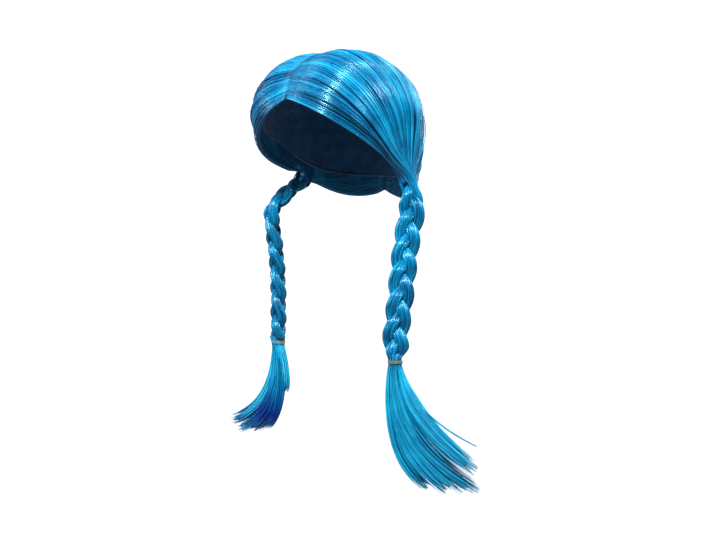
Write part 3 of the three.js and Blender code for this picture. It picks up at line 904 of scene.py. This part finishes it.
def elastic(name, plait):
    """A thin band wound three times round the bundle."""
    length = plait_path(plait)[1][-1]
    middle, along, across, through = plait_frame(plait, np.array(length))
    turns = np.linspace(0, ELASTIC_TURNS * 2 * np.pi, ELASTIC_TURNS * 40)
    radius = BUNDLE_RADIUS + ELASTIC_CLEAR + 0.15 * np.sin(turns * 0.7)
    drop = ELASTIC_DROP + ELASTIC_RISE * turns / (2 * np.pi) + 0.25 * np.sin(turns * 1.3)
    centre = (
        middle + along * drop[:, None]
        + across * (radius * np.cos(turns))[:, None] + through * (radius * np.sin(turns))[:, None]
    )
    outward = unit(across * np.cos(turns)[:, None] + through * np.sin(turns)[:, None])
    tangent = unit(np.gradient(centre, axis=0))
    side = np.cross(tangent, outward)
    angle = 2 * np.pi * np.arange(10) / 10
    rings = centre[:, None] + ELASTIC_WIRE * (
        outward[:, None] * np.cos(angle)[:, None] + side[:, None] * np.sin(angle)[:, None]
    )
    points, faces = tube(rings)
    add_mesh(f"elastic_{name}", points, faces, elastic_tan, [f"elastic_{name}"])


def lock_lines(plait, lock, share, section, first, fullness_at_tip):
    """Lines in one lock of a tail. Each keeps its place in the elastic and its place in the lock."""
    side = plait["side"]
    drop = plait["tail_drop"] * HANGING_LENGTH
    length = plait_path(plait)[1][-1]
    middle, along, across, through = plait_frame(plait, np.array(length))
    root = middle + along * (COLLAR_LENGTH - LOCK_SINK)
    towards = np.array([side, -1, -1]) * drop
    mid, tip = (root + towards * np.array(lock[name]) for name in ("mid", "tip"))
    t = share[..., None]
    curve = root * (1 - t) ** 2 + 2 * mid * t * (1 - t) + tip * t**2
    tangent = unit(2 * (mid - root) * (1 - t) + 2 * (tip - mid) * t)
    lock_across, lock_through = axes_across(side, tangent)
    girth = lock["girth"] * BUNDLE_RADIUS * mix(1, fullness_at_tip, smooth(share, 0.5, 1))
    wide = (girth * section[0])[..., None] * lock_across
    full = wide + (LOCK_FLATNESS * girth * section[1])[..., None] * lock_through
    held = BUNDLE_RADIUS * (first[0][..., None] * across + first[1][..., None] * through)
    held = held * mix(TAIL_FLARE, 1, smooth(t, TAIL_START, 0))
    return curve + mix(held, full, smooth(t, 0, 0.4)), unit(full + 0.2 * lock_through)


def in_disc(count, rng):
    """Random places in a round section, as columns that hold along each fibre."""
    radius, angle = np.sqrt(rng.random(count)), 2 * np.pi * rng.random(count)
    return radius * np.cos(angle), radius * np.sin(angle)


def tail(name, plait, material, rng):
    """The loose ends below the elastic, lock by lock, as one piece."""
    parts = []
    for lock in plait["locks"]:
        count = int(TAIL_FIBRES * lock["girth"])
        share = np.linspace(TAIL_START, 1, TAIL_STEPS)[None] * (0.86 + 0.14 * rng.random(count))[:, None]
        x, y = in_disc(count, rng)
        spread = mix(1, 0.75 + 0.55 * rng.random(count)[:, None], smooth(share, 0.4, 1))
        first_x = np.clip(lock["start"] + 0.45 * x, -1, 1)[:, None]
        first_y = y[:, None] * np.sqrt(1 - 0.95 * first_x**2)
        section = (x[:, None] * spread, y[:, None] * spread)
        lines, outward = lock_lines(plait, lock, share, section, (first_x, first_y), plait["tip_fullness"])
        tone = lock["shade"] + TAIL_TONE_SPREAD * rng.normal(size=count)[:, None]
        tone = np.clip(tone - TAIL_SHADE * (1 - smooth(share, -0.02, 0.1)), 0, 1)
        width = tapered(TAIL_THINNEST + TAIL_SPREAD * rng.random(count))
        points, faces, attributes = fibres(lines, outward, width, width * TAIL_FLATNESS, tone)
        attributes["dipped"] = attributes["along"] * lock["dip"]
        parts.append((points, faces, attributes))
    points, faces, attributes = joined(parts)
    add_mesh(f"tail_{name}", points, faces, material, [f"tail_{name}"], attributes)


def joined(parts):
    """Several pieces' points, faces and attributes as one."""
    points, faces, attributes = [], [], {}
    first = 0
    for part_points, part_faces, part_attributes in parts:
        points.append(part_points)
        faces += [[first + i for i in face] for face in part_faces]
        for key, values in part_attributes.items():
            attributes.setdefault(key, []).append(values)
        first += len(part_points)
    return np.concatenate(points), faces, {key: np.concatenate(values) for key, values in attributes.items()}


# Cap and parting strip


def cap_ways(rows, columns):
    """Directions from the head's centre: rows from the top down to the cap's edge."""
    column = np.arange(columns)
    turn = 2 * np.pi * column / columns
    tilt = np.pi / 2 * read_table(CAP_EDGE, "tilt", np.minimum(column, columns - column) / (columns / 2))
    share = np.linspace(0.01, 1, rows)[:, None]
    lean = mix(np.pi / 2, tilt[None], share)
    level = np.cos(lean)
    ways = np.stack([level * np.sin(turn), -level * np.cos(turn), np.sin(lean)], -1)
    return ways + HEAD_CENTRE, share * np.ones_like(lean)


def cap():
    """The cap's net with rows of sewn wefts and a hem inside it."""
    columns, rows = CAP_COLUMNS, CAP_ROWS
    ways, share = cap_ways(rows, columns)
    height = on_head(ways, 0)[..., 2]
    from_row = (height + WEFT_APART / 2) % WEFT_APART - WEFT_APART / 2
    wefts = WEFT_HEIGHT * np.exp(-((from_row / WEFT_HALF_WIDTH) ** 2)) * smooth(share, 0.1, 0.2)
    hem = HEM_HEIGHT * smooth(share, 0.945, 0.955)
    outer = on_head(ways, np.full(share.shape, CAP_WALL))
    inner = on_head(ways, -np.maximum(wefts, hem))
    tops = [outer[0].mean(0), inner[0].mean(0)]
    points = np.concatenate([outer.reshape(-1, 3), inner.reshape(-1, 3), tops])
    shell = rows * columns
    faces = ring_faces(rows, columns)[:, ::-1].tolist() + ring_faces(rows, columns, shell).tolist()
    last = (rows - 1) * columns
    for k in range(columns):
        n = (k + 1) % columns
        faces.append([last + k, last + n, shell + last + n, shell + last + k])
        faces.append([2 * shell, k, n])
        faces.append([2 * shell + 1, shell + n, shell + k])
    add_mesh("wig_cap", points, faces, cap_net, ["wig_cap"])


def parting_strip():
    """The strip's section, with rounded upper corners, carried along the parting."""
    at = np.linspace(STRIP_START, 1 - STRIP_START, STRIP_STEPS)
    along, up, shift = (read_table(HAIR_LINES, name, at) for name in ("along", "up", "shift"))
    middle = np.stack([np.zeros(STRIP_STEPS), length_at(along), level_at(up)], -1)
    top = HAIR_UNDER + STRIP_WALL
    corner = top - STRIP_CORNER
    section = [(-1, corner), (-0.6, top), (0.6, top), (1, corner), (1, HAIR_UNDER), (-1, HAIR_UNDER)]
    corners = []
    for x, lift in section:
        line = on_head(middle, lift)
        line[:, 0] = x * STRIP_HALF - shift * HEAD_HALF_WIDTH
        corners.append(line)
    points, faces = tube(np.stack(corners, 1))
    add_mesh("parting_strip", points, faces, strip_skin, ["parting_strip"])


cap()
parting_strip()
for number, (name, plait) in enumerate(SIDES.items()):
    rng = np.random.default_rng(SEED + number)
    crown_base(name, plait)
    crown_fibres(name, plait, rng)
    crown_lining(name, plait, rng)
    for strand in range(STRANDS_IN_PLAIT):
        plait_strand(name, plait, strand, rng)
    elastic(name, plait)
    tail(name, plait, tail_blue if name == "left" else far_tail_blue, rng)


# Floor, light and camera

FLOOR_LEVEL = -1.9
STAGE_RADIUS = 4.0
STAGE_BEND = 1.2
STAGE_TOP = 3.2
STAGE_STEPS = 96
STAGE_BEND_STEPS = 12
STAGE_GREY = 0.4
STAGE_GLOW = 0.9
WORLD_LIGHT = 0.5
LIGHTS = {
    "key": dict(place=(0.75, -1.3, 1.35), aim=(0, 0, -0.12), size=(0.3, 0.3), power=80),
    "rim": dict(place=(1.3, 0.7, 0.9), aim=(0, 0, -0.12), size=(0.3, 0.6), power=25),
    "back": dict(place=(-0.4, 1.8, 0.7), aim=(0, 0, -0.2), size=(1.5, 1.5), power=18),
    "fill": dict(place=(-1.6, -1.4, 0.2), aim=(0, 0, -0.2), size=(1.0, 1.0), power=26),
}
VIEW_AZIMUTH = 41.0
VIEW_ELEVATION = 6.5
VIEW_DISTANCE = 1.7
VIEW_SCALE = 885.0
PHOTO_WIDTH = 717
PHOTO_HEIGHT = 541
HEAD_AT_PIXEL = (334.0, 121.5)
SENSOR_WIDTH = 36.0


def view_axes():
    """The directions to the right of the view, up in it, and back from it towards the camera."""
    azimuth, elevation = np.radians(VIEW_AZIMUTH), np.radians(VIEW_ELEVATION)
    level = np.cos(elevation)
    back = np.array([np.sin(azimuth) * level, -np.cos(azimuth) * level, np.sin(elevation)])
    right = np.array([np.cos(azimuth), np.sin(azimuth), 0])
    return right, np.cross(back, right), back


def camera():
    """Puts the head's centre at its pixel of the photograph, seen from the photograph's angle."""
    right, up, back = view_axes()
    aim = HEAD_CENTRE * METRES
    aim = aim - right * (HEAD_AT_PIXEL[0] - PHOTO_WIDTH / 2) / VIEW_SCALE
    aim = aim + up * (HEAD_AT_PIXEL[1] - PHOTO_HEIGHT / 2) / VIEW_SCALE
    data = bpy.data.cameras.new("camera")
    data.sensor_width = SENSOR_WIDTH
    data.lens = VIEW_SCALE * VIEW_DISTANCE / PHOTO_WIDTH * SENSOR_WIDTH
    seen = bpy.data.objects.new("camera", data)
    turn = Matrix((right, up, back)).transposed().to_4x4()
    seen.matrix_world = Matrix.Translation(Vector(aim + back * VIEW_DISTANCE)) @ turn
    bpy.context.scene.collection.objects.link(seen)
    bpy.context.scene.camera = seen


def soft_light(name, place, aim, size, power):
    data = bpy.data.lights.new(name, "AREA")
    data.shape = "RECTANGLE"
    data.size, data.size_y = size
    data.energy = power
    lamp = bpy.data.objects.new(name, data)
    lamp.location = place
    lamp.rotation_euler = (Vector(aim) - Vector(place)).to_track_quat("-Z", "Y").to_euler()
    bpy.context.scene.collection.objects.link(lamp)


def true_colours():
    """Shows the hair's strong blue as it is, with no film-like fading."""
    bpy.context.scene.view_settings.view_transform = "Standard"


def stage_white():
    """Pale grey to the light, and white where the camera sees it, so that it doesn't light the hair."""
    material, nodes, links, shader = new_material("studio_white")
    shader.inputs["Base Color"].default_value = (STAGE_GREY, STAGE_GREY, STAGE_GREY, 1)
    shader.inputs["Roughness"].default_value = 0.9
    shader.inputs["Emission Color"].default_value = (1, 1, 1, 1)
    seen = nodes.new("ShaderNodeLightPath")
    glow = nodes.new("ShaderNodeMath")
    glow.operation = "MULTIPLY"
    glow.inputs[1].default_value = STAGE_GLOW
    links.new(seen.outputs["Is Camera Ray"], glow.inputs[0])
    links.new(glow.outputs[0], shader.inputs["Emission Strength"])
    return material


def stage():
    """A floor that curves up into a backdrop all round."""
    bend = np.linspace(0, np.pi / 2, STAGE_BEND_STEPS)
    out = STAGE_RADIUS - STAGE_BEND + STAGE_BEND * np.sin(bend)
    up = FLOOR_LEVEL + STAGE_BEND * (1 - np.cos(bend))
    profile = [*zip(out, up), (STAGE_RADIUS, STAGE_TOP)]
    steps = STAGE_STEPS
    angle = 2 * np.pi * np.arange(steps) / steps
    rings = np.array([[(r * np.cos(a), r * np.sin(a), z) for a in angle] for r, z in profile])
    points = np.concatenate([rings.reshape(-1, 3), [[0, 0, FLOOR_LEVEL]]])
    faces = ring_faces(len(profile), steps)[:, ::-1].tolist()
    faces += [[len(points) - 1, k, (k + 1) % steps] for k in range(steps)]
    mesh = bpy.data.meshes.new("studio")
    mesh.from_pydata(points.tolist(), [], faces)
    mesh.polygons.foreach_set("use_smooth", np.ones(len(mesh.polygons), bool))
    mesh.materials.append(stage_white())
    backdrop = bpy.data.objects.new("studio", mesh)
    bpy.context.scene.collection.objects.link(backdrop)


def world_light():
    world = bpy.data.worlds.new("studio_world")
    world.use_nodes = True
    background = world.node_tree.nodes["Background"]
    background.inputs["Color"].default_value = (1, 1, 1, 1)
    background.inputs["Strength"].default_value = WORLD_LIGHT
    bpy.context.scene.world = world


stage()
world_light()
for name, light in LIGHTS.items():
    soft_light(name, **light)
camera()
true_colours()
